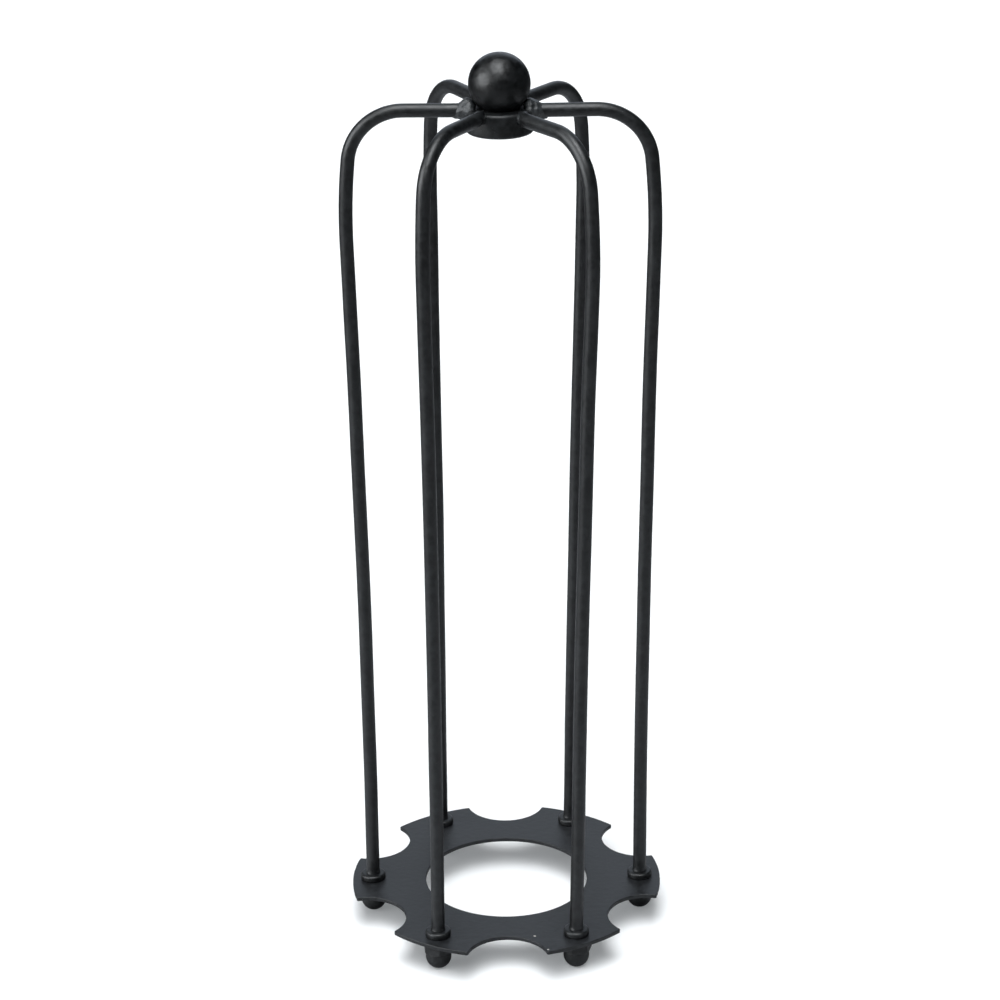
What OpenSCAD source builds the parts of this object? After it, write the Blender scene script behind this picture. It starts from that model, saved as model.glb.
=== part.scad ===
// Bulb guard: a scalloped ring plate with a lampholder hole, six bent wires that stand
// on it, and a hub with a ball finial that joins the wires at the top.
//
// Millimetres, +Z up. The origin is on the centre line, on the surface that the guard
// stands on, so the tips of the cap nuts are at z = 0. Wire 1 stands on +X, and the
// others follow it anticlockwise every 60 degrees.

/* [Ring plate] */
// Outer diameter of the plate, across its tabs
plate_d = 80.2; // [79:0.1:82]
// Thickness of the sheet
plate_t = 1; // [0.8:0.1:2]
// Diameter of the lampholder hole
hole_d = 42; // [38:0.5:46]
// Radius of each scallop in the plate's edge
scallop_r = 10.3; // [8:0.1:10.8]
// Distance from the centre line to the centre of a scallop
scallop_out = 41.6; // [41:0.1:43]

/* [Cage wires] */
// Diameter of the wire
wire_d = 3.4; // [3.1:0.1:3.6]
// Diameter of the circle that the wires stand on
wire_circle_d = 69.6; // [68:0.1:71]
// Height of the level arms' axis above the plate
arm_h = 204.9; // [120:0.1:300]
// Radius of the shoulder bend, to the wire's axis
bend_r = 13.3; // [8:0.1:15]
// Angle of the shoulder bend
bend_a = 84; // [80:0.5:87]
// Radius of the gentler curve that finishes the shoulder
ease_r = 165; // [120:1:200]
// Angle by which the wire leans in below the shoulder
lean_a = 1.5; // [1:0.1:1.8]

/* [Threads] */
// Diameter of the threaded ends, over the crests
stud_d = 3.9; // [3.8:0.05:3.95]
// Length of threaded end below the plate
stud_below = 5; // [4:0.1:5.3]
// Diameter of the tapped bores in nuts, hub and ball
tapped_d = 4; // [4:0.05:4.1]
// Diameter of the plate's six holes for the threaded ends
stud_hole_d = 4.1; // [4:0.05:4.5]

/* [Collars] */
// Outer diameter of the collar on each wire
collar_d = 6.4; // [5.5:0.1:7]
// Height of the collar
collar_h = 1.7; // [1:0.1:2.4]
// Rounding of the collar's top edge
collar_edge = 0.6; // [0.3:0.1:0.8]

/* [Cap nuts] */
// Width across the flats
nut_flats = 7; // [6.8:0.1:7.5]
// Height over all
nut_h = 8; // [7.5:0.1:9]
// Height of the hexagon
hex_h = 3.2; // [2.8:0.1:3.8]
// Diameter of the dome
dome_d = 6.5; // [6:0.1:6.6]
// Depth of the threaded bore
nut_bore = 5.5; // [5.4:0.1:5.8]

/* [Hub] */
// Diameter of the hub
hub_d = 16.2; // [15:0.1:18]
// Height of the hub
hub_h = 5.8; // [4.5:0.1:7]
// Height of the hub's top above the arms' axis
hub_over = 0.5; // [0.2:0.1:0.8]
// Rounding of the hub's edges
hub_edge = 0.8; // [0.4:0.1:1.2]

/* [Ball finial] */
// Diameter of the ball
ball_d = 14.8; // [14:0.1:16]
// Height of the ball's centre above its flat
ball_seat = 5.9; // [5.6:0.1:6.4]
// Depth of the ball's threaded bore
ball_bore = 7; // [6:0.5:9]

/* [Weld beads] */
// Distance that a bead reaches in over the hub's rim
weld_in = 2.3; // [1.8:0.1:2.3]
// Distance that a bead reaches out along the arm from the hub
weld_out = 2.2; // [1.4:0.1:3]
// Thickness of a bead round the arm at its fattest
weld_fat = 0.7; // [0.4:0.1:0.8]

/* [Hidden] */

wires = 6;
pitch_a = 360 / wires;
paint = [0.16, 0.165, 0.175];
bare_thread = [0.3, 0.3, 0.31];

// how finely round things are drawn
fine = 96;
round_wire = 32;

// levels up the centre line
plate_bottom = nut_h;
plate_top = plate_bottom + plate_t;
collar_top = plate_top + collar_h;
arm_z = plate_top + arm_h;
hub_top = arm_z + hub_over;
hub_bottom = hub_top - hub_h;
ball_z = hub_top + ball_seat;

// The wire's axis, followed down from the level arm: a tight shoulder bend, a gentler
// curve that goes past plumb by lean_a, and a slow bow that brings it back to plumb.
// The bow's radius is in whole millimetres, and the plumb foot below it takes what is left.
least_foot = collar_h + 1.5;
ease_drop = bend_r * (1 - cos(bend_a)) + ease_r * (cos(bend_a) + sin(lean_a));
ease_out = bend_r * sin(bend_a) + ease_r * (cos(lean_a) - sin(bend_a));
bow_r = floor((arm_h - ease_drop - least_foot) / sin(lean_a));
bow_in = bow_r * (1 - cos(lean_a));
foot_r = wire_circle_d / 2;
foot_z = arm_z - ease_drop - bow_r * sin(lean_a);
// where the arm ends and the shoulder bend starts
arm_r = foot_r + bow_in - ease_out;
// where the gentler curve ends and the bow starts
bow_top_r = arm_r + ease_out;
bow_top_z = arm_z - ease_drop;
bow_steps = 12;

// Moves in the plane of a wire, in steps of whole millimetres, thousandths and what is
// left, so that long decimals keep all their digits and the arcs meet end to end.
function whole(v) = floor(v);
function thousandths(v) = floor((v - whole(v)) * 1000) / 1000;
function rest(v) = v - whole(v) - thousandths(v);
module place(r, z) {
    translate([whole(r), 0, whole(z)])
        translate([thousandths(r), 0, thousandths(z)])
            translate([rest(r), 0, rest(z)]) children();
}

// Turns from wire 1's place to wire k's.
module at_wire(k) {
    rotate([0, 0, pitch_a * (k - 1)]) children();
}

// A curved length of wire in the plane of wire 1, about a centre at (r, z).
module wire_arc(r, z, radius, from, sweep, steps) {
    place(r, z) rotate([90, 0, 0])
        rotate_extrude(angle = sweep, start = from, $fn = ceil(steps * 360 / sweep))
            translate([radius, 0]) circle(d = wire_d, $fn = round_wire);
}

// A round wire with a threaded end: plumb foot, slow bow, shoulder, and a level arm
// whose end is cut to the hub's side.
module cage_wire(k) {
    color(paint) at_wire(k) difference() {
        union() {
            translate([foot_r, 0, plate_bottom - stud_below])
                cylinder(d = stud_d, h = stud_below + plate_t, $fn = round_wire);
            place(foot_r, foot_z) mirror([0, 0, 1])
                cylinder(d = wire_d, h = foot_z - plate_top + plate_t, $fn = round_wire);
            wire_arc(bow_top_r + bow_r * cos(lean_a), bow_top_z - bow_r * sin(lean_a),
                     bow_r, 180 - lean_a, lean_a, bow_steps);
            wire_arc(bow_top_r - ease_r * cos(lean_a), bow_top_z + ease_r * sin(lean_a),
                     ease_r, -lean_a, 90 - bend_a + lean_a, 8);
            wire_arc(arm_r, arm_z - bend_r, bend_r, 90 - bend_a, bend_a, 20);
            place(arm_r, arm_z) rotate([0, -90, 0])
                cylinder(d = wire_d, h = arm_r - hub_d / 2 + 1, $fn = round_wire);
        }
        translate([0, 0, arm_z - wire_d])
            cylinder(d = hub_d, h = 2 * wire_d, $fn = fine);
    }
}

// A turned ring on the foot of each wire, which the plate is pulled up against.
module collar(k) {
    color(paint) at_wire(k) translate([foot_r, 0, plate_top]) rotate_extrude($fn = fine) {
        translate([wire_d / 2, 0]) square([collar_d / 2 - wire_d / 2, collar_h - collar_edge]);
        translate([wire_d / 2, 0]) square([collar_d / 2 - wire_d / 2 - collar_edge, collar_h]);
        translate([collar_d / 2 - collar_edge, collar_h - collar_edge])
            circle(r = collar_edge, $fn = round_wire);
    }
}

// The ring plate: sheet with a lampholder hole, six scallops that leave a tab at each
// wire, and a hole in each tab for the wire's threaded end.
module base_plate() {
    cut = plate_t + 2;
    color(paint) difference() {
        translate([0, 0, plate_bottom]) cylinder(d = plate_d, h = plate_t, $fn = 2 * fine);
        translate([0, 0, plate_bottom - 1]) {
            cylinder(d = hole_d, h = cut, $fn = 2 * fine);
            for (k = [1 : wires]) {
                at_wire(k) translate([foot_r, 0, 0])
                    cylinder(d = stud_hole_d, h = cut, $fn = round_wire);
                at_wire(k + 0.5) translate([scallop_out, 0, 0])
                    cylinder(r = scallop_r, h = cut, $fn = fine);
            }
        }
    }
}

// A domed cap nut, hexagon up against the plate. Each stops at its own angle.
nut_step_a = 37;
hex_r = nut_flats / 2 / cos(30);
hex_bevel = (hex_r - nut_flats / 2) * tan(30);
bore_tip = 1.1;
module cap_nut(k) {
    hex_z = nut_h - hex_h;
    color(paint) at_wire(k) translate([foot_r, 0, 0]) rotate([0, 0, nut_step_a * k])
        difference() {
            union() {
                translate([0, 0, dome_d / 2]) sphere(d = dome_d, $fn = fine);
                translate([0, 0, dome_d / 2])
                    cylinder(d = dome_d, h = nut_h / 2 + hex_z / 2 - dome_d / 2, $fn = fine);
                intersection() {
                    translate([0, 0, hex_z]) cylinder(r = hex_r, h = hex_h, $fn = 6);
                    rotate_extrude($fn = fine) polygon([
                        [0, hex_z], [nut_flats / 2, hex_z], [hex_r, hex_z + hex_bevel],
                        [hex_r, nut_h - hex_bevel], [nut_flats / 2, nut_h], [0, nut_h]]);
                }
            }
            translate([0, 0, nut_h - nut_bore]) {
                cylinder(d = tapped_d, h = nut_bore + 1, $fn = fine);
                translate([0, 0, -bore_tip])
                    cylinder(d1 = 0, d2 = tapped_d, h = bore_tip, $fn = fine);
            }
        }
}

// A thick round disc with rounded edges and a tapped hole through its middle.
module hub_body() {
    inner = hub_d / 2 - hub_edge;
    translate([0, 0, hub_bottom]) rotate_extrude($fn = fine) {
        square([inner, hub_h]);
        translate([0, hub_edge]) square([hub_d / 2, hub_h - 2 * hub_edge]);
        for (z = [hub_edge, hub_h - hub_edge])
            translate([inner, z]) circle(r = hub_edge, $fn = round_wire);
    }
}
module hub() {
    color(paint) difference() {
        hub_body();
        translate([0, 0, hub_bottom - 1]) cylinder(d = tapped_d, h = hub_h + 2, $fn = fine);
    }
}

// The threaded stud that holds the ball on the hub.
stud_back = 0.4;
stud_in_ball = ball_bore - 0.5;
module finial_stud() {
    color(bare_thread) translate([0, 0, hub_bottom + stud_back])
        cylinder(d = stud_d, h = hub_h - stud_back + stud_in_ball, $fn = fine);
}

// The ball, flat underneath, with a blind threaded bore.
module finial_ball() {
    color(paint) difference() {
        translate([0, 0, ball_z]) sphere(d = ball_d, $fn = fine);
        translate([0, 0, hub_top - ball_d]) cylinder(d = 2 * ball_d, h = ball_d, $fn = fine);
        translate([0, 0, hub_top - 1]) cylinder(d = tapped_d, h = ball_bore + 1, $fn = fine);
    }
}

// A lump of weld round the butt of an arm and over the hub's rim: two round runs with
// flat ends, fitted to the wire and the hub and clear of the ball.
ball_gap = 0.15;
module weld_bead(k) {
    rim = hub_d / 2;
    fat_r = wire_d / 2 + weld_fat;
    color(paint) at_wire(k) difference() {
        intersection() {
            union() {
                translate([rim + weld_out / 2 - 0.2, 0, arm_z]) sphere(r = fat_r, $fn = fine);
                translate([rim - weld_in / 2 + 0.4, 0, arm_z]) sphere(r = fat_r - 0.2, $fn = fine);
            }
            translate([rim - weld_in, -fat_r, arm_z - fat_r])
                cube([weld_in + weld_out, 2 * fat_r, 2 * fat_r]);
        }
        translate([rim - 1, 0, arm_z]) rotate([0, 90, 0])
            cylinder(d = wire_d, h = weld_out + 2, $fn = round_wire);
        hub_body();
        translate([0, 0, ball_z]) sphere(d = ball_d + 2 * ball_gap, $fn = fine);
    }
}

base_plate();
cage_wire(1);  // cage_wire_1
cage_wire(2);  // cage_wire_2
cage_wire(3);  // cage_wire_3
cage_wire(4);  // cage_wire_4
cage_wire(5);  // cage_wire_5
cage_wire(6);  // cage_wire_6
collar(1);  // collar_1
collar(2);  // collar_2
collar(3);  // collar_3
collar(4);  // collar_4
collar(5);  // collar_5
collar(6);  // collar_6
cap_nut(1);  // cap_nut_1
cap_nut(2);  // cap_nut_2
cap_nut(3);  // cap_nut_3
cap_nut(4);  // cap_nut_4
cap_nut(5);  // cap_nut_5
cap_nut(6);  // cap_nut_6
weld_bead(1);  // weld_bead_1
weld_bead(2);  // weld_bead_2
weld_bead(3);  // weld_bead_3
weld_bead(4);  // weld_bead_4
weld_bead(5);  // weld_bead_5
weld_bead(6);  // weld_bead_6
hub();
finial_stud();
finial_ball();
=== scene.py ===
"""Bulb guard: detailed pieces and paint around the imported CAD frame."""

import math
import random

import bmesh
import bpy
from mathutils import Matrix, Vector, noise
from mathutils.geometry import tessellate_polygon


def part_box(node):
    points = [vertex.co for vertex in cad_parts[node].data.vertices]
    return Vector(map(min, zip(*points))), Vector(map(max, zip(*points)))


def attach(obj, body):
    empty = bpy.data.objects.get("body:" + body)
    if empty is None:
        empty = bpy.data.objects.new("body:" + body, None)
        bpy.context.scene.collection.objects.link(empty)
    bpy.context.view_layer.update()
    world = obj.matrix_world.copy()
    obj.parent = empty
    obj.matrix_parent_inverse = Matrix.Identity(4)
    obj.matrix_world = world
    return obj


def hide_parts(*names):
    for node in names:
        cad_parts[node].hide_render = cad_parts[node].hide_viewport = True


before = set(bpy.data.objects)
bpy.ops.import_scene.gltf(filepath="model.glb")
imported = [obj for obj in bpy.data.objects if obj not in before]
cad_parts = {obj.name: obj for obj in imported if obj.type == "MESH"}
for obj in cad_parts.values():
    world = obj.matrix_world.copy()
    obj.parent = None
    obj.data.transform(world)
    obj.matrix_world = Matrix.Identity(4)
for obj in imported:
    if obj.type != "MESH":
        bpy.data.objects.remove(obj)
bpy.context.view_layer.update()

MM = 0.001
TURN = 2 * math.pi
WIRES = 6
STEP = 360 / WIRES       # degrees from one wire to the next


# ---------------------------------------------------------------- sizes, in mm, from the CAD
def low_high(node):
    low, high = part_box(node)
    return low / MM, high / MM


plate_lo, plate_hi = low_high("base_plate")
collar_lo, collar_hi = low_high("collar_1")
nut_hi = low_high("cap_nut_1")[1]
wire_lo, wire_hi = low_high("cage_wire_1")
hub_lo, hub_hi = low_high("hub")
stud_lo, stud_hi = low_high("finial_stud")
ball_hi = low_high("finial_ball")[1]

plate_bottom, plate_top = plate_lo.z, plate_hi.z
plate_r, hole_r, stud_hole_r = 40.1, 21.0, 2.05
# the scallops' radius, how far out their centres are, and the rounding of the corners beside them
scallop_r, scallop_out, corner_r = 10.3, 41.6, 0.45
foot_r = round((collar_lo.x + collar_hi.x) / 2, 2)
wire_r = 1.7
thread_r, thread_pitch, thread_depth = 1.95, 0.7, 0.40
tapped_r = 2.0
arm_z = round(wire_hi.z - wire_r, 2)
# a wire's shoulder, the easier bend below it and the long bow: their radii, and the angles where they meet
bend_r, bend_a, ease_r, lean_a, bow_r = 13.3, 84.0, 165.0, 1.5, 6426.0
collar_r, collar_edge, collar_foot = 3.2, 0.6, 0.42
nut_flats, hex_h, dome_r, nut_bore, bore_tip, nut_step_a = 7.0, 3.2, 3.25, 5.5, 1.1, 37.0
hub_r, hub_edge = 8.1, 0.8
ball_r, ball_bore = 7.4, 7.0
ball_z = ball_hi.z - ball_r
# how far round the hub each hand-bent wire's arm stands from its foot, in degrees
stray = {2: -4.1, 3: -1.9, 5: 1.0, 6: 4.7}
# how much higher than drawn each arm stands, in mm
lift = {1: -0.12, 2: 0.32, 3: 0.52, 6: -0.45}
# wires whose ends were pinched by side cutters, over pinch_l mm, and the side of each that its weld fills
cropped, pinch_l = {5: -1, 6: 1}, 3.2


def rad(degrees):
    return math.radians(degrees)


def held(value):
    """The value, kept between 0 and 1."""
    return min(1.0, max(0.0, value))


def turned(k, share=0.0):
    """The turn from wire 1's place to wire k's, with a share of its stray."""
    return Matrix.Rotation(rad(STEP * (k - 1) + share * stray.get(k, 0.0)), 4, "Z")


# ---------------------------------------------------------------- meshes
def add_piece(name, verts, faces, body, nodes, material, edge=None, sharp=None):
    """A mesh piece in mm coordinates that rides on a body and stands for CAD nodes."""
    mesh = bpy.data.meshes.new(name)
    mesh.from_pydata([Vector(v) * MM for v in verts], [], faces)
    bm = bmesh.new()
    bm.from_mesh(mesh)
    bmesh.ops.recalc_face_normals(bm, faces=bm.faces)
    bm.to_mesh(mesh)
    bm.free()
    mesh.polygons.foreach_set("use_smooth", [True] * len(mesh.polygons))
    if sharp:
        mesh.set_sharp_from_angle(angle=rad(sharp))
    # the edge mask: where paint is worn and where edges get a painted highlight
    wear_and_edge_highlight = mesh.attributes.new("edge", "FLOAT", "POINT")
    wear_and_edge_highlight.data.foreach_set("value", edge or [0.0] * len(verts))
    mesh.materials.append(material)
    mesh.update()
    piece = bpy.data.objects.new(name, mesh)
    bpy.context.scene.collection.objects.link(piece)
    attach(piece, body)
    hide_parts(*nodes)
    return piece


def loop_faces(a, b, n):
    """Quads between two rings of n vertices that start at a and b."""
    return [(a + i, a + (i + 1) % n, b + (i + 1) % n, b + i) for i in range(n)]


def revolve(profile, n, shape=None, ring=False):
    """Turns a profile of (r, z, edge) about Z. ring closes the profile on itself."""
    verts, faces, edge, starts = [], [], [], []
    for r, z, e in profile:
        starts.append((len(verts), r == 0))
        for i in range(1 if r == 0 else n):
            a = TURN * i / n
            rr = shape(r, z, a) if shape and r else r
            verts.append((rr * math.cos(a), rr * math.sin(a), z))
            edge.append(e)
    for (a, a_pole), (b, b_pole) in zip(starts, starts[1:] + (starts[:1] if ring else [])):
        if a_pole:
            faces += [(a, b + i, b + (i + 1) % n) for i in range(n)]
        elif b_pole:
            faces += [(b, a + (i + 1) % n, a + i) for i in range(n)]
        else:
            faces += loop_faces(a, b, n)
    return verts, faces, edge


def arc(cr, cz, radius, start, end, steps):
    """Profile points on an arc, angles in degrees."""
    angles = [rad(start + (end - start) * i / steps) for i in range(steps + 1)]
    return [(cr + radius * math.cos(a), cz + radius * math.sin(a), 0.0) for a in angles]


def worn_and_lit_arc(cr, cz, radius, start, end, steps, most, power):
    """An arc whose edge wear, partly a painted highlight, rises to most at its middle."""
    return [(r, z, most * math.sin(rad(180 * i / steps)) ** power)
            for i, (r, z, _) in enumerate(arc(cr, cz, radius, start, end, steps))]


def moved(verts, matrix):
    return [tuple(matrix @ Vector(v)) for v in verts]


def thread(angle, z):
    """Depth below the crest of a right-hand thread, 0 to 1."""
    flank_slope, crest_share = 2.6, 0.25
    phase = (z / thread_pitch - angle / TURN) % 1
    return min(max(abs(phase - 0.5) * flank_slope - crest_share, 0), 1)


# ---------------------------------------------------------------- paint
class Nodes:
    """Short calls for building a material's nodes."""

    def __init__(self, name):
        self.material = bpy.data.materials.new(name)
        self.material.use_nodes = True
        self.tree = self.material.node_tree
        self.tree.nodes.clear()
        out = self.tree.nodes.new("ShaderNodeOutputMaterial")
        self.shader = self.tree.nodes.new("ShaderNodeBsdfPrincipled")
        self.link(self.shader.outputs[0], out.inputs[0])
        self.place = self.tree.nodes.new("ShaderNodeTexCoord").outputs["Object"]

    def link(self, a, b):
        self.tree.links.new(a, b)

    def put(self, socket, value):
        if hasattr(value, "links"):
            self.link(value, socket)
        else:
            socket.default_value = value

    def set(self, **values):
        """Values or links for the shader's inputs, with _ for each space in an input's name."""
        for name, value in values.items():
            self.put(self.shader.inputs[name.replace("_", " ")], value)

    def noise(self, size_mm, detail=3.0, rough=0.5):
        node = self.tree.nodes.new("ShaderNodeTexNoise")
        self.link(self.place, node.inputs["Vector"])
        node.inputs["Scale"].default_value = 1 / (size_mm * MM)
        node.inputs["Detail"].default_value = detail
        node.inputs["Roughness"].default_value = rough
        return node.outputs["Fac"]

    def cells(self, size_mm):
        node = self.tree.nodes.new("ShaderNodeTexVoronoi")
        self.link(self.place, node.inputs["Vector"])
        node.inputs["Scale"].default_value = 1 / (size_mm * MM)
        return node.outputs["Distance"]

    def math(self, kind, a, b):
        node = self.tree.nodes.new("ShaderNodeMath")
        node.operation = kind
        self.put(node.inputs[0], a)
        self.put(node.inputs[1], b)
        return node.outputs[0]

    def span(self, value, a, b, c, d):
        """Value a..b mapped to c..d, held at the ends."""
        node = self.tree.nodes.new("ShaderNodeMapRange")
        self.put(node.inputs["Value"], value)
        for name, number in (("From Min", a), ("From Max", b), ("To Min", c), ("To Max", d)):
            node.inputs[name].default_value = number
        return node.outputs["Result"]

    def blend(self, amount, a, b):
        """Colour a where amount is 0 and b where it is 1."""
        # a Mix node has sockets for numbers, vectors and colours under the same names
        first_colour, second_colour, mixed_colour = 6, 7, 2
        node = self.tree.nodes.new("ShaderNodeMix")
        node.data_type = "RGBA"
        self.put(node.inputs["Factor"], amount)
        self.put(node.inputs[first_colour], a)
        self.put(node.inputs[second_colour], b)
        return node.outputs[mixed_colour]

    def attribute(self, name):
        node = self.tree.nodes.new("ShaderNodeAttribute")
        node.attribute_name = name
        return node.outputs["Fac"]

    def near(self, point_mm):
        """Distance from a point, in metres."""
        node = self.tree.nodes.new("ShaderNodeVectorMath")
        node.operation = "DISTANCE"
        self.link(self.place, node.inputs[0])
        node.inputs[1].default_value = Vector(point_mm) * MM
        return node.outputs["Value"]

    def bump(self, height, distance_mm, before=None):
        node = self.tree.nodes.new("ShaderNodeBump")
        node.inputs["Strength"].default_value = 1.0
        node.inputs["Distance"].default_value = distance_mm * MM
        self.link(height, node.inputs["Height"])
        if before is not None:
            self.link(before, node.inputs["Normal"])
        return node.outputs["Normal"]


def grey(value, tint=(1.0, 1.03, 1.08)):
    return tuple(value * t for t in tint) + (1.0,)


dust_tone, chip_tone = grey(0.11), grey(0.42, (1.0, 0.97, 0.9))
steel_tint = (1.0, 0.98, 0.95)


def paint(name, dark=0.005, light=0.010, rough=(0.38, 0.54), peel=(1.2, 0.012), grain=(0.30, 0.008),
          wear_and_edge_highlight=0.4, worn_and_lit_tone=0.04, specular=0.35, tint=(0.88, 1.0, 1.10), chips=()):
    """Satin black powder coat: mottled black, orange peel, fine grain, dust, and worn edges painted
    lighter, partly as wear and partly as a painted highlight.

    dark and light are the mottling's two tones, rough its roughness in each, peel and grain a bump's
    width and height in mm, the wear amount how much of an edge is painted to the worn tone, for wear
    and as a painted highlight along it, and each chip a point and a radius in mm.
    """
    n = Nodes(name)
    cloud = n.noise(9.0, 4.0, 0.6)
    fine = n.noise(0.35, 3.0, 0.6)
    blotch = n.noise(1.7, 2.0, 0.6)
    tone = n.math("ADD", n.math("MULTIPLY", cloud, 0.3), n.math("MULTIPLY", fine, 0.2))
    tone = n.math("ADD", tone, n.math("MULTIPLY", blotch, 0.5))
    colour = n.blend(n.span(tone, 0.42, 0.58, 0.0, 1.0), grey(dark, tint), grey(light, tint))
    # dust: small pale dots, in patches, at half strength
    dots = n.span(n.cells(0.9), 0.05, 0.10, 1.0, 0.0)
    dots = n.math("MULTIPLY", dots, n.span(n.noise(4.0, 2.0), 0.52, 0.66, 0.0, 0.5))
    colour = n.blend(dots, colour, dust_tone)
    # paint rubbed thin and smoother on edges, and painted lighter there: wear, and a painted highlight
    # along the edges
    rub_and_edge_highlight = n.span(n.noise(0.8, 4.0, 0.7), 0.42, 0.62, 0.0, 1.0)
    rub_and_edge_highlight = n.math("MULTIPLY", n.math("MULTIPLY", n.attribute("edge"), rub_and_edge_highlight), wear_and_edge_highlight)
    colour = n.blend(rub_and_edge_highlight, colour, grey(worn_and_lit_tone))
    rough_now = n.span(tone, 0.40, 0.60, rough[0], rough[1])
    rough_now = n.math("SUBTRACT", rough_now, n.math("MULTIPLY", rub_and_edge_highlight, 0.15))
    height = n.math("ADD", n.math("MULTIPLY", dots, 1.5), n.noise(grain[0], 2.0, 0.6))
    # chips: pale and sunk, with a ragged rim
    for point, size in chips:
        away = n.math("ADD", n.near(point), n.math("MULTIPLY", n.noise(0.35, 2.0), 0.0006))
        chip = n.span(away, (size * 0.8 + 0.28) * MM, (size + 0.34) * MM, 1.0, 0.0)
        colour = n.blend(chip, colour, chip_tone)
        height = n.math("SUBTRACT", height, n.math("MULTIPLY", chip, 4.0))
    peeled = n.bump(n.noise(peel[0], 2.0, 0.4), peel[1])
    n.set(Base_Color=colour, Roughness=rough_now, Specular_IOR_Level=specular,
          Normal=n.bump(height, grain[1], peeled))
    return n.material


def bare_steel(name):
    """Dull dark steel of a cut thread, brighter on the crests."""
    n = Nodes(name)
    tone = n.noise(0.5, 4.0, 0.7)
    dark, light, crest = grey(0.05, (1.0, 0.97, 0.92)), grey(0.16, steel_tint), grey(0.30, steel_tint)
    colour = n.blend(n.span(tone, 0.35, 0.65, 0.0, 1.0), dark, light)
    n.set(Base_Color=n.blend(n.attribute("edge"), colour, crest), Metallic=0.85,
          Roughness=n.span(tone, 0.3, 0.7, 0.34, 0.6), Normal=n.bump(n.noise(0.2, 3.0, 0.6), 0.008))
    return n.material


def on_plate(r, a):
    """A point on the plate's top face, at a radius and an angle in degrees."""
    return (r * math.cos(rad(a)), r * math.sin(rad(a)), plate_top)


plate_paint = paint("plate_paint", dark=0.006, light=0.015, rough=(0.39, 0.49), wear_and_edge_highlight=0.22, worn_and_lit_tone=0.02,
                    peel=(1.5, 0.045), tint=(0.9, 1.0, 1.12),
                    chips=((on_plate(31.9, 282.5), 0.28), (on_plate(39.2, 285.0), 0.22)))
wire_paint = paint("wire_paint", dark=0.004, light=0.011, rough=(0.35, 0.47), specular=0.42,
                   peel=(1.0, 0.05))
fitting_paint = paint("fitting_paint", dark=0.003, light=0.012, wear_and_edge_highlight=0.3, specular=0.32,
                      peel=(1.0, 0.03))
# the welds' black paint is made lighter than the rest: a painted highlight for lumps that face the lamps
weld_paint = paint("weld_paint", dark=0.012, light=0.026, rough=(0.42, 0.58), specular=0.5,
                   grain=(0.25, 0.010))
ball_paint = paint("ball_paint", dark=0.002, light=0.006, rough=(0.28, 0.44), peel=(2.6, 0.16))
thread_steel = bare_steel("thread_steel")


# ---------------------------------------------------------------- ring plate
def swept(centre, radius, start, sweep, steps):
    """Points along an arc, both ends among them, angles in radians."""
    angles = [start + sweep * i / steps for i in range(steps + 1)]
    return [centre + radius * Vector((math.cos(a), math.sin(a))) for a in angles]


def plate_outline():
    """The outer outline, anticlockwise: tab arcs, rounded corners and scallops."""
    tab_steps, corner_steps, scallop_steps = 24, 6, 40
    # a rounded corner's centre, from the two circles that it touches, is at radius out and at
    # the angle swing from the scallop's centre
    out, far = plate_r - corner_r, scallop_r + corner_r
    swing = math.acos((out ** 2 + scallop_out ** 2 - far ** 2) / (2 * out * scallop_out))
    half = rad(STEP / 2)
    points = []
    for k in range(WIRES):
        tab = rad(STEP * k)
        notch = Vector((scallop_out * math.cos(tab + half), scallop_out * math.sin(tab + half)))
        touching = []
        for side in (-1, 1):
            c_a = tab + half + side * swing
            c = Vector((out * math.cos(c_a), out * math.sin(c_a)))
            to_notch = (notch - c).normalized()
            turn = (math.atan2(to_notch.y, to_notch.x) - c_a + math.pi) % TURN - math.pi
            fillet = swept(c, corner_r, c_a, turn, corner_steps)
            touching.append(math.atan2(-(notch - c).y, -(notch - c).x))
            if side < 0:
                tab_start = tab - (half - swing)
                points += swept(Vector((0, 0)), plate_r, tab_start, c_a - tab_start, tab_steps)[1:-1]
                points += fillet
            else:
                sweep = (touching[1] - touching[0]) % TURN - TURN
                points += swept(notch, scallop_r, touching[0], sweep, scallop_steps)[1:-1]
                points += fillet[::-1]
    return points


def circle(r, n, centre=(0, 0)):
    angles = [TURN * i / n for i in range(n)]
    return [Vector((centre[0] + r * math.cos(a), centre[1] + r * math.sin(a))) for a in angles]


def inset(points, distance):
    """The loop moved in by a distance to the left of its direction."""
    out = []
    for i, p in enumerate(points):
        d = (points[(i + 1) % len(points)] - points[i - 1]).normalized()
        out.append(p + distance * Vector((-d.y, d.x)))
    return out


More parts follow.
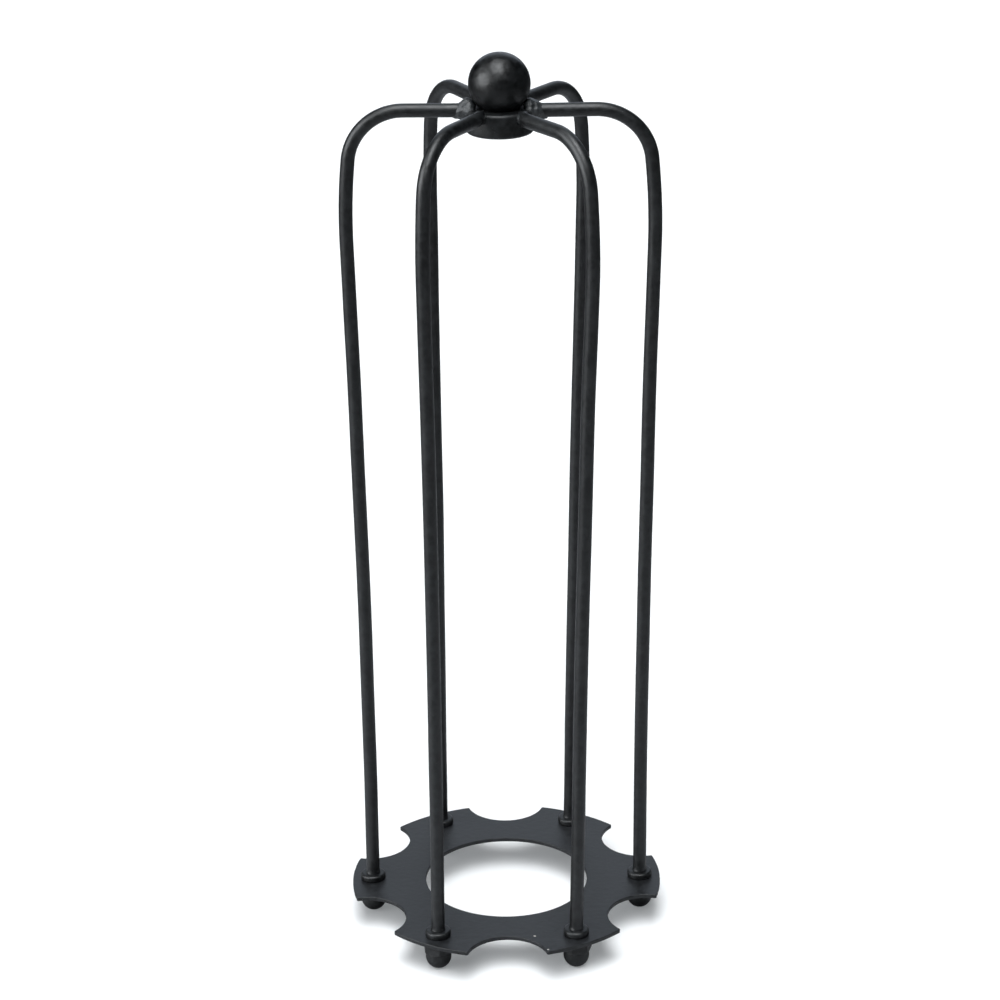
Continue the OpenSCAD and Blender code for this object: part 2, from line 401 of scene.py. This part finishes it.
def build_plate():
    hole_steps, stud_hole_steps = 144, 32
    # small burrs where the sheet was cut
    burr_seed, burr_rate, burr_from, burr_depth = Vector((3.1, 7.7, 1.9)), 1.3, 0.25, 0.22
    outline = []
    for p in plate_outline():
        ragged = noise.noise(Vector((p.x, p.y, 0)) * burr_rate + burr_seed)
        outline.append(p - p.normalized() * max(0.0, ragged - burr_from) * burr_depth)
    loops = [outline, circle(hole_r, hole_steps)[::-1]]
    for k in range(WIRES):
        a = rad(STEP * k)
        centre = (foot_r * math.cos(a), foot_r * math.sin(a))
        loops.append(circle(stud_hole_r, stud_hole_steps, centre)[::-1])
    verts, faces, edge, caps = [], [], [], {"top": [], "bottom": []}
    t = plate_top - plate_bottom
    # (inset, height, edge wear and painted highlight) round the edge: rolled over on top, with a small burr
    # below
    rolled = [(0.30, t, 0.0), (0.16, t, 0.2), (0.09, t - 0.012, 0.7), (0.035, t - 0.045, 1.0),
              (0.006, t - 0.10, 0.8), (0.0, t - 0.18, 0.3), (0.0, 0.10, 0.1), (0.03, 0.03, 0.6),
              (0.09, 0.0, 0.3), (0.25, 0.0, 0.0)]
    for loop in loops:
        n = len(loop)
        rings = []
        for step_in, z, e in rolled:
            rings.append(len(verts))
            for p in inset(loop, step_in):
                verts.append((p.x, p.y, plate_bottom + z))
                edge.append(e)
        for a, b in zip(rings, rings[1:]):
            faces += loop_faces(a, b, n)
        caps["top"].append(range(rings[0], rings[0] + n))
        caps["bottom"].append(range(rings[-1], rings[-1] + n))
    for side in caps.values():
        index = [i for ring in side for i in ring]
        lists = [[Vector((verts[i][0], verts[i][1], 0)) for i in ring] for ring in side]
        faces += [tuple(index[j] for j in tri) for tri in tessellate_polygon(lists)]
    return add_piece("vis_base_plate", verts, faces, "ring", ["base_plate"],
                     plate_paint, edge)


# ---------------------------------------------------------------- wires
def wire_axis():
    """(r, z) points up a wire's axis, from the top of its thread to the hub."""
    cos, sin = math.cos, math.sin
    bow_steps, ease_steps, bend_steps, arm_steps = 40, 10, 30, 24
    into_hub = 0.2
    drop = bend_r * (1 - cos(rad(bend_a))) + ease_r * (cos(rad(bend_a)) + sin(rad(lean_a)))
    out = bend_r * sin(rad(bend_a)) + ease_r * (cos(rad(lean_a)) - sin(rad(bend_a)))
    bow_in = bow_r * (1 - cos(rad(lean_a)))
    arm_r = foot_r + bow_in - out
    top_r, top_z = arm_r + out, arm_z - drop
    # the plumb foot, with points close together where the collar's corner fills with paint
    points = [(foot_r, plate_top + z) for z in (0.0, 0.4, 0.9, 1.4, 1.7, 1.8, 2.0, 2.3, 2.7)]
    c_r, c_z = top_r + bow_r * cos(rad(lean_a)), top_z - bow_r * sin(rad(lean_a))
    for i in range(bow_steps + 1):
        a = rad(180 - lean_a * i / bow_steps)
        points.append((c_r + bow_r * cos(a), c_z + bow_r * sin(a)))
    c_r, c_z = top_r - ease_r * cos(rad(lean_a)), top_z + ease_r * sin(rad(lean_a))
    for i in range(1, ease_steps + 1):
        a = rad(-lean_a + (90 - bend_a + lean_a) * i / ease_steps)
        points.append((c_r + ease_r * cos(a), c_z + ease_r * sin(a)))
    for i in range(1, bend_steps + 1):
        a = rad(90 - bend_a + bend_a * i / bend_steps)
        points.append((arm_r + bend_r * cos(a), arm_z - bend_r + bend_r * sin(a)))
    for i in range(1, arm_steps + 1):
        points.append((arm_r + (hub_r + into_hub - arm_r) * i / arm_steps, arm_z))
    return points


def wire_thread(n):
    """Rings of n points up a wire's threaded end, tapered at its tip and fading into the wire."""
    steps, tip_r, tip_slope = 84, 1.45, 1.1
    z_end, z_top = wire_lo.z, plate_top - 0.05
    fade_from, fade_l = plate_top - 0.5, 0.45
    verts, edge = [], []
    for i in range(steps + 1):
        z = z_end + (z_top - z_end) * i / steps
        for j in range(n):
            a = TURN * j / n
            cut = thread(a, z)
            r = min(thread_r - thread_depth * cut, tip_r + (z - z_end) * tip_slope)
            if z > fade_from:
                r = wire_r + (r - wire_r) * max(0.0, (z_top - z) / fade_l)
            verts.append((foot_r + r * math.cos(a), r * math.sin(a), z))
            edge.append(1.0 - cut)
    return verts, edge


def wire_run(k, axis, n):
    """Rings of n points along a wire's axis, with the small unevenness of hand-bent wire."""
    side_sway, up_sway, swelling = 0.16, 0.14, 0.012
    paint_l, paint_gather = 0.45, 0.35
    hub_overlap = 0.12
    verts = []
    last = len(axis) - 1
    shift = Vector((11.3 * k, 5.1 * k, 2.7))
    for i, (r, z) in enumerate(axis):
        if i == 0:
            d = Vector((0, 0, 1))
        else:
            ahead, behind = axis[min(i + 1, last)], axis[i - 1]
            d = Vector((ahead[0] - behind[0], 0, ahead[1] - behind[1])).normalized()
        side = Vector((0, 1, 0))
        up = side.cross(d)
        along = r * 0.35 + z
        # the sway grows above the collar, and dies away towards the hub
        free = held((z - 14) / 25) * held((r - hub_r - 4) / 8)
        sway = side * side_sway * noise.noise(Vector((along / 38, 0, 0)) + shift) * free
        sway += up * up_sway * noise.noise(Vector((0, along / 30, 0)) + shift) * free
        swell = 1 + swelling * noise.noise(Vector((0, 0, along / 9)) + shift)
        # paint gathered in the corner above the collar
        above = z - collar_hi.z
        in_corner = above > -0.3 and r > foot_r - 1 and z < 20
        gather = paint_gather * math.exp(-((above / paint_l) ** 2)) if in_corner else 0.0
        # the two front wires were cropped with side cutters, which pinched their ends to an edge
        pinched = k in cropped and z > arm_z - 1
        close = held((hub_r + pinch_l - r) / pinch_l) if pinched else 0.0
        pinch = 1 - 0.8 * close ** 1.5
        rr = wire_r * swell + gather * 0.5
        for j in range(n):
            a = TURN * j / n
            p = Vector((r, 0, z)) + sway + up * (-rr * math.cos(a)) + side * (rr * pinch * math.sin(a))
            if i == last:  # cut to the hub's side
                p.x = math.sqrt((hub_r - hub_overlap) ** 2 - p.y ** 2)
            verts.append(tuple(p))
    return verts


def build_wire(k, axis):
    n = 40
    verts, edge = wire_thread(n)
    run = wire_run(k, axis, n)
    verts += run
    edge += [0.0] * len(run)
    rings = range(0, len(verts), n)
    faces = []
    for a, b in zip(rings, rings[1:]):
        faces += loop_faces(a, b, n)
    faces.append(tuple(range(n)))
    faces.append(tuple(range(rings[-1], rings[-1] + n)))
    # the stray and the lift grow over the first lean_l mm above the collar
    lean_l = 175
    leaned = []
    for x, y, z in verts:
        share = held((z - collar_hi.z) / lean_l)
        leaned.append(tuple(turned(k, share) @ Vector((x, y, z + share * lift.get(k, 0.0)))))
    return add_piece(f"vis_cage_wire_{k}", leaned, faces, "cage",
                     [f"cage_wire_{k}"], wire_paint, edge, sharp=50)


# ---------------------------------------------------------------- collars and cap nuts
def build_collar(k):
    z0, z1, e, foot = collar_lo.z, collar_hi.z, collar_edge, collar_foot
    inner_r = wire_r - 0.02
    profile = [(inner_r, z0, 0.0)] + arc(collar_r - foot, z0 + foot, foot, -90, 0, 6)
    profile += [(collar_r, z0 + 0.6, 0.0)] + worn_and_lit_arc(collar_r - e, z1 - e, e, 0, 90, 8, 0.7, 1)
    profile += [(wire_r + 0.55, z1, 0.0), (wire_r + 0.25, z1 + 0.02, 0.0), (inner_r, z1 + 0.05, 0.0)]
    wobble = Vector((k * 3.7, 1.1, 0))

    def uneven(r, z, a):
        """The outside, up to 0.05 mm less than round."""
        if r < wire_r + 0.6:
            return r
        return r - 0.05 * abs(noise.noise(Vector((math.cos(a), math.sin(a), z * 0.3)) + wobble))

    verts, faces, edge = revolve(profile, 64, uneven, ring=True)
    place = turned(k) @ Matrix.Translation((foot_r, 0, 0))
    return add_piece(f"vis_collar_{k}", moved(verts, place), faces, "cage",
                     [f"collar_{k}"], fitting_paint, edge, sharp=60)


def build_nut(k):
    top = nut_hi.z
    hex_z = top - hex_h
    half = nut_flats / 2
    corner = half / math.cos(rad(30))
    bevel = (corner - half) * math.tan(rad(30))
    bevel_steps, roundness = 5, 70

    def hexagon(a):
        """Distance to a hexagon's side at an angle, with its corners rounded a little."""
        facing = sum(max(math.cos(a - rad(60 * i)), 0.0) ** roundness for i in range(6))
        return half / facing ** (1 / roundness)

    def shape(r, z, a):
        """The dome stays round, and a cone at 30 degrees bevels the hexagon's corners."""
        if r < half - 0.001:
            return r
        cone = half + min(z - hex_z, top - z) / math.tan(rad(30))
        return min(hexagon(a), max(half, min(cone, r)))

    outer = corner + 0.01
    bevel_z = [bevel * i / bevel_steps for i in range(bevel_steps + 1)]
    profile = [(0, 0, 0.0)] + arc(0, dome_r, dome_r, -90, 0, 20)[1:]
    profile += [(dome_r, hex_z - 0.25, 0.0), (dome_r - 0.10, hex_z - 0.06, 0.0),
                (dome_r - 0.02, hex_z, 0.0), (half - 0.002, hex_z + 0.002, 0.3)]
    profile += [(outer, hex_z + z + 0.004, 0.8) for z in bevel_z]
    profile += [(outer, hex_z + z, 0.35) for z in (0.8, 1.6, 2.4)]
    profile += [(outer, top - z - 0.004, 0.8) for z in bevel_z[::-1]]
    profile += [(half - 0.01, top, 0.3), (tapped_r + 0.25, top, 0.0), (tapped_r, top - 0.25, 0.0)]
    profile += [(tapped_r, top - nut_bore, 0.0), (0, top - nut_bore - bore_tip, 0.0)]
    verts, faces, edge = revolve(profile, 120, shape)
    place = turned(k) @ Matrix.Translation((foot_r, 0, 0)) @ Matrix.Rotation(rad(nut_step_a * k), 4, "Z")
    return add_piece(f"vis_cap_nut_{k}", moved(verts, place), faces, f"nut_{k}",
                     [f"cap_nut_{k}"], fitting_paint, edge, sharp=24)


# ---------------------------------------------------------------- hub, finial and welds
def build_hub():
    z0, z1, e = hub_lo.z, hub_hi.z, hub_edge
    profile = [(tapped_r, z0 + 0.2, 0.0), (tapped_r + 0.2, z0, 0.0)]
    profile += worn_and_lit_arc(hub_r - e, z0 + e, e, -90, 0, 10, 0.8, 2)
    profile += [(hub_r, z0 + z, 0.0) for z in (1.6, 2.6, 3.6)]
    profile += worn_and_lit_arc(hub_r - e, z1 - e, e, 0, 90, 10, 1.0, 2)
    profile += [(tapped_r + 0.2, z1, 0.0), (tapped_r, z1 - 0.2, 0.0)]

    def uneven(r, z, a):
        """The outside, up to 0.05 mm less than round."""
        bump = noise.noise(Vector((2.2 * math.cos(a), 2.2 * math.sin(a), z * 0.5)))
        return r if r < hub_r - 0.5 else r - 0.05 * abs(bump)

    verts, faces, edge = revolve(profile, 144, uneven, ring=True)
    return add_piece("vis_hub", verts, faces, "cage", ["hub"],
                     fitting_paint, edge, sharp=60)


def build_ball():
    flat_z = hub_hi.z
    flat_a = math.degrees(math.asin((flat_z - ball_z) / ball_r))
    profile = [(0, ball_hi.z, 0.0)] + arc(0, ball_z, ball_r, 89, flat_a, 90)
    flat_r = profile[-1][0]
    profile += [(flat_r - 0.06, flat_z, 0.3), (tapped_r + 0.25, flat_z, 0.0)]
    profile += [(tapped_r, flat_z + 0.25, 0.0), (tapped_r, flat_z + ball_bore, 0.0),
                (0, flat_z + ball_bore, 0.0)]
    verts, faces, edge = revolve(profile, 144)
    return add_piece("vis_finial_ball", verts, faces, "cage", ["finial_ball"],
                     ball_paint, edge, sharp=60)


def build_stud():
    n, steps, tip_r = 40, 160, 1.5
    z0, z1 = stud_lo.z, stud_hi.z
    verts, faces, edge = [(0, 0, z0)], [], [0.0]
    for i in range(steps + 1):
        z = z0 + (z1 - z0) * i / steps
        for j in range(n):
            a = TURN * j / n
            cut = thread(a, z)
            r = min(thread_r - thread_depth * cut, tip_r + (z - z0), tip_r + (z1 - z))
            verts.append((r * math.cos(a), r * math.sin(a), z))
            edge.append(1.0 - cut)
    faces += [(0, 1 + (j + 1) % n, 1 + j) for j in range(n)]
    for i in range(steps):
        faces += loop_faces(1 + i * n, 1 + (i + 1) * n, n)
    verts.append((0, 0, z1))
    edge.append(0.0)
    last = 1 + steps * n
    faces += [(len(verts) - 1, last + j, last + (j + 1) % n) for j in range(n)]
    return add_piece("vis_finial_stud", verts, faces, "cage", ["finial_stud"],
                     thread_steel, edge, sharp=50)


# the balls that a weld is fused from: x, y, height over the arm's axis, and radius, on wire 1, in mm.
# A scant weld fills one side, behind the pinched end: its y is for a side of 1.
SCANT_WELD = [(10.3, 0.15, 0.10, 1.60), (9.6, 0.25, 0.15, 1.66), (8.9, 0.55, 0.15, 1.50),
              (8.3, 0.95, 0.05, 1.30), (7.8, 1.35, 0.30, 1.25), (7.6, 0.9, 0.75, 0.9),
              (8.2, 0.5, -0.5, 1.1)]
# a full weld is a wedge that climbs the hub's rim to the ball
FULL_WELD = [(10.5, 0.0, -0.62, 1.50), (9.8, 0.0, -0.45, 1.75), (9.2, 0.4, -0.2, 1.8),
             (9.1, -0.4, -0.1, 1.8), (8.7, 0.0, 0.35, 1.85), (8.2, 0.9, 0.1, 1.8),
             (8.1, -0.9, 0.0, 1.8), (8.0, 0.0, 0.85, 1.95), (7.4, 0.1, 1.15, 1.95),
             (7.9, 0.8, -0.7, 1.6), (7.9, -0.8, -0.6, 1.6), (8.6, 0.0, -0.7, 1.7),
             (7.1, 1.1, 1.0, 1.5), (7.1, -1.1, 1.1, 1.5), (7.2, 2.0, 0.2, 1.3), (7.2, -2.0, 0.1, 1.3)]


def fused(lumps):
    """An object whose evaluated mesh is the lumps remeshed into one smooth skin, in mm."""
    bm = bmesh.new()
    for x, y, z, r in lumps:
        place = Matrix.Translation((x, y, arm_z + z))
        bmesh.ops.create_icosphere(bm, subdivisions=2, radius=r, matrix=place)
    mesh = bpy.data.meshes.new("lumps")
    bm.to_mesh(mesh)
    bm.free()
    rough = bpy.data.objects.new("lumps", mesh)
    bpy.context.scene.collection.objects.link(rough)
    remesh = rough.modifiers.new("fuse", "REMESH")
    remesh.mode, remesh.voxel_size, remesh.use_smooth_shade = "VOXEL", 0.12, True
    smooth = rough.modifiers.new("soften", "SMOOTH")
    smooth.factor, smooth.iterations = 0.5, 12
    return rough


def build_weld(k):
    """Lumps round the butt of an arm, fused by remeshing and flattened into facets, with ripples."""
    facets, soften_rounds, ball_gap = 12, 10, 0.12
    rng = random.Random(40 + k)
    if k in cropped:
        lumps = [(x, y * cropped[k], z, r) for x, y, z, r in SCANT_WELD]
    else:
        lumps = FULL_WELD
    lumps = [(x + rng.uniform(-0.1, 0.1), y + rng.uniform(-0.1, 0.1), z + rng.uniform(-0.08, 0.08),
              r + rng.uniform(-0.05, 0.05)) for x, y, z, r in lumps]
    middle = Vector((8.6, 0.0, arm_z + 0.2))
    flats = []
    for _ in range(facets):
        d = Vector((rng.uniform(-0.3, 0.9), rng.uniform(-1, 1), rng.uniform(-0.8, 1))).normalized()
        reach = max((Vector((x, y, arm_z + z)) - middle).dot(d) + r for x, y, z, r in lumps)
        flats.append((d, reach - rng.uniform(0.15, 0.40)))
    rough = fused(lumps)
    done = rough.evaluated_get(bpy.context.evaluated_depsgraph_get()).to_mesh()
    bm = bmesh.new()
    bm.from_mesh(done)
    for v in bm.verts:
        for d, reach in flats:
            over = (v.co - middle).dot(d) - reach
            if over > 0:
                v.co -= d * over
    for _ in range(soften_rounds):
        bmesh.ops.smooth_vert(bm, verts=bm.verts, factor=0.5,
                              use_axis_x=True, use_axis_y=True, use_axis_z=True)
    bm.normal_update()
    verts = []
    for v in bm.verts:
        p = v.co.copy()
        ripple = 0.025 * math.sin(5.0 * p.x + 2.5 * noise.noise(p * 0.7) + k)
        lump = 0.14 * noise.noise(p * 0.8 + Vector((0, k, 0)))
        lump += 0.035 * noise.noise(p * 2.2 + Vector((0, 0, k)))
        p += v.normal * (ripple + lump)
        p.z += lift.get(k, 0.0)
        from_ball = p - Vector((0, 0, ball_z))
        if from_ball.length < ball_r + ball_gap:  # stay off the ball
            p = Vector((0, 0, ball_z)) + from_ball.normalized() * (ball_r + ball_gap)
        verts.append(tuple(p))
    bm.free()
    faces = [tuple(f.vertices) for f in done.polygons]
    rough.to_mesh_clear()
    bpy.data.objects.remove(rough)
    return add_piece(f"vis_weld_bead_{k}", moved(verts, turned(k, 1.0)), faces, "cage",
                     [f"weld_bead_{k}"], weld_paint)


build_plate()
axis_points = wire_axis()
for number in range(1, WIRES + 1):
    build_wire(number, axis_points)
    build_collar(number)
    build_nut(number)
    build_weld(number)
build_hub()
build_stud()
build_ball()


# ---------------------------------------------------------------- floor, light and camera, in metres
WHITE = (1.0, 1.0, 1.0, 1.0)
floor_half, wall_r, wall_h = 12.0, 11.8, 14.0
card_z = 0.0004     # just over the floor


def stage_mesh(name, verts, faces, material):
    mesh = bpy.data.meshes.new(name)
    mesh.from_pydata(verts, [], faces)
    mesh.materials.append(material)
    ob = bpy.data.objects.new(name, mesh)
    bpy.context.scene.collection.objects.link(ob)
    return ob


def seen_by(ob, camera=True, diffuse=True, glossy=True, shadow=True):
    ob.visible_camera, ob.visible_diffuse = camera, diffuse
    ob.visible_glossy, ob.visible_shadow = glossy, shadow


def rectangle(x, y0, y1, z):
    return [(-x, y0, z), (x, y0, z), (x, y1, z), (-x, y1, z)]


def floor():
    """A pale floor that glows a little, which lightens its shadows."""
    n = Nodes("floor")
    n.set(Base_Color=(0.72, 0.72, 0.72, 1.0), Roughness=0.75, Specular_IOR_Level=0.2,
          Emission_Color=(0.95, 1.0, 1.03, 1.0), Emission_Strength=0.19)
    corners = rectangle(floor_half, -floor_half, floor_half, 0.0)
    seen_by(stage_mesh("floor", corners, [(0, 1, 2, 3)], n.material), glossy=False)


def backdrop():
    """A white wall round the floor, there only for a level camera to see."""
    n = Nodes("backdrop")
    n.set(Base_Color=grey(0.0), Emission_Color=WHITE, Emission_Strength=1.0)
    foot = circle(wall_r, 96)
    verts = [(p.x, p.y, z) for z in (0.0, wall_h) for p in foot]
    wall = stage_mesh("backdrop", verts, loop_faces(0, len(foot), len(foot)), n.material)
    seen_by(wall, diffuse=False, glossy=False, shadow=False)


def reflected(name, value, verts, faces):
    """A grey card over the floor that only the paint's reflections see."""
    n = Nodes(name)
    n.set(Base_Color=grey(value))
    seen_by(stage_mesh(name, verts, faces, n.material), camera=False, diffuse=False, shadow=False)


floor()
backdrop()
# the reflections see a grey table, a darker edge round it, and a dark studio round that
table = rectangle(0.20, -0.11, 0.30, card_z)
table_edge = rectangle(0.42, -0.42, 0.45, card_z)
studio = rectangle(9.0, -9.0, 9.0, card_z)
between = [(0, 1, 5, 4), (1, 2, 6, 5), (2, 3, 7, 6), (3, 0, 4, 7)]
reflected("reflected_table", 0.42, table, [(0, 1, 2, 3)])
reflected("reflected_edge", 0.28, table_edge + table, between)
reflected("reflected_studio", 0.05, studio + table_edge, between)

COOL = (0.97, 1.0, 1.025)


def sun(name, toward, strength, angle, diffuse=True, colour=COOL):
    """Soft light from a direction, the same everywhere. Without diffuse only reflections see it."""
    light = bpy.data.lights.new(name, "SUN")
    light.energy, light.angle, light.color = strength, rad(angle), colour
    ob = bpy.data.objects.new(name, light)
    ob.rotation_euler = Vector(toward).to_track_quat("Z", "Y").to_euler()
    bpy.context.scene.collection.objects.link(ob)
    ob.visible_diffuse = diffuse


# a long softbox overhead, its long side towards the camera
for name, tilt, strength in (("overhead_back", 1, 1.3), ("overhead", 17, 1.5), ("overhead_front", 33, 1.3)):
    sun(name, (-0.06, -math.sin(rad(tilt)), math.cos(rad(tilt))), strength, 36)
sun("left", (-0.90, -0.36, 0.26), 1.2, 50)
sun("left_gloss", (-0.90, -0.36, 0.26), 2.8, 50, diffuse=False)
sun("upper_left", (-0.62, -0.30, 0.72), 0.9, 60, diffuse=False)
sun("backdrop", (0.05, 0.93, 0.37), 0.62, 54, diffuse=False, colour=(0.87, 0.96, 1.09))

world = bpy.data.worlds.new("studio")
world.use_nodes = True
world.node_tree.nodes["Background"].inputs["Color"].default_value = WHITE
world.node_tree.nodes["Background"].inputs["Strength"].default_value = 0.22
world.cycles_visibility.glossy = False
bpy.context.scene.world = world
bpy.context.scene.view_settings.view_transform = "Standard"


def add_camera(at, pitch, yaw, roll, lens):
    """at in metres; pitch down, yaw towards +X and roll in degrees; lens in mm on a 36 mm sensor."""
    pitch, yaw, roll = rad(pitch), rad(yaw), rad(roll)
    forward = Vector((math.sin(yaw) * math.cos(pitch), math.cos(yaw) * math.cos(pitch), -math.sin(pitch)))
    level = Vector((math.cos(yaw), -math.sin(yaw), 0))
    up = level.cross(forward)
    right = math.cos(roll) * level + math.sin(roll) * up
    up = right.cross(forward)
    data = bpy.data.cameras.new("camera")
    data.lens, data.sensor_width = lens, 36.0
    data.clip_start, data.clip_end = 0.05, 60.0
    ob = bpy.data.objects.new("camera", data)
    ob.matrix_world = Matrix.Translation(at) @ Matrix((right, up, -forward)).transposed().to_4x4()
    bpy.context.scene.collection.objects.link(ob)
    bpy.context.scene.camera = ob


add_camera((-0.00176, -0.68171, 0.38429), pitch=21.566, yaw=0.084, roll=-0.540, lens=106.22)
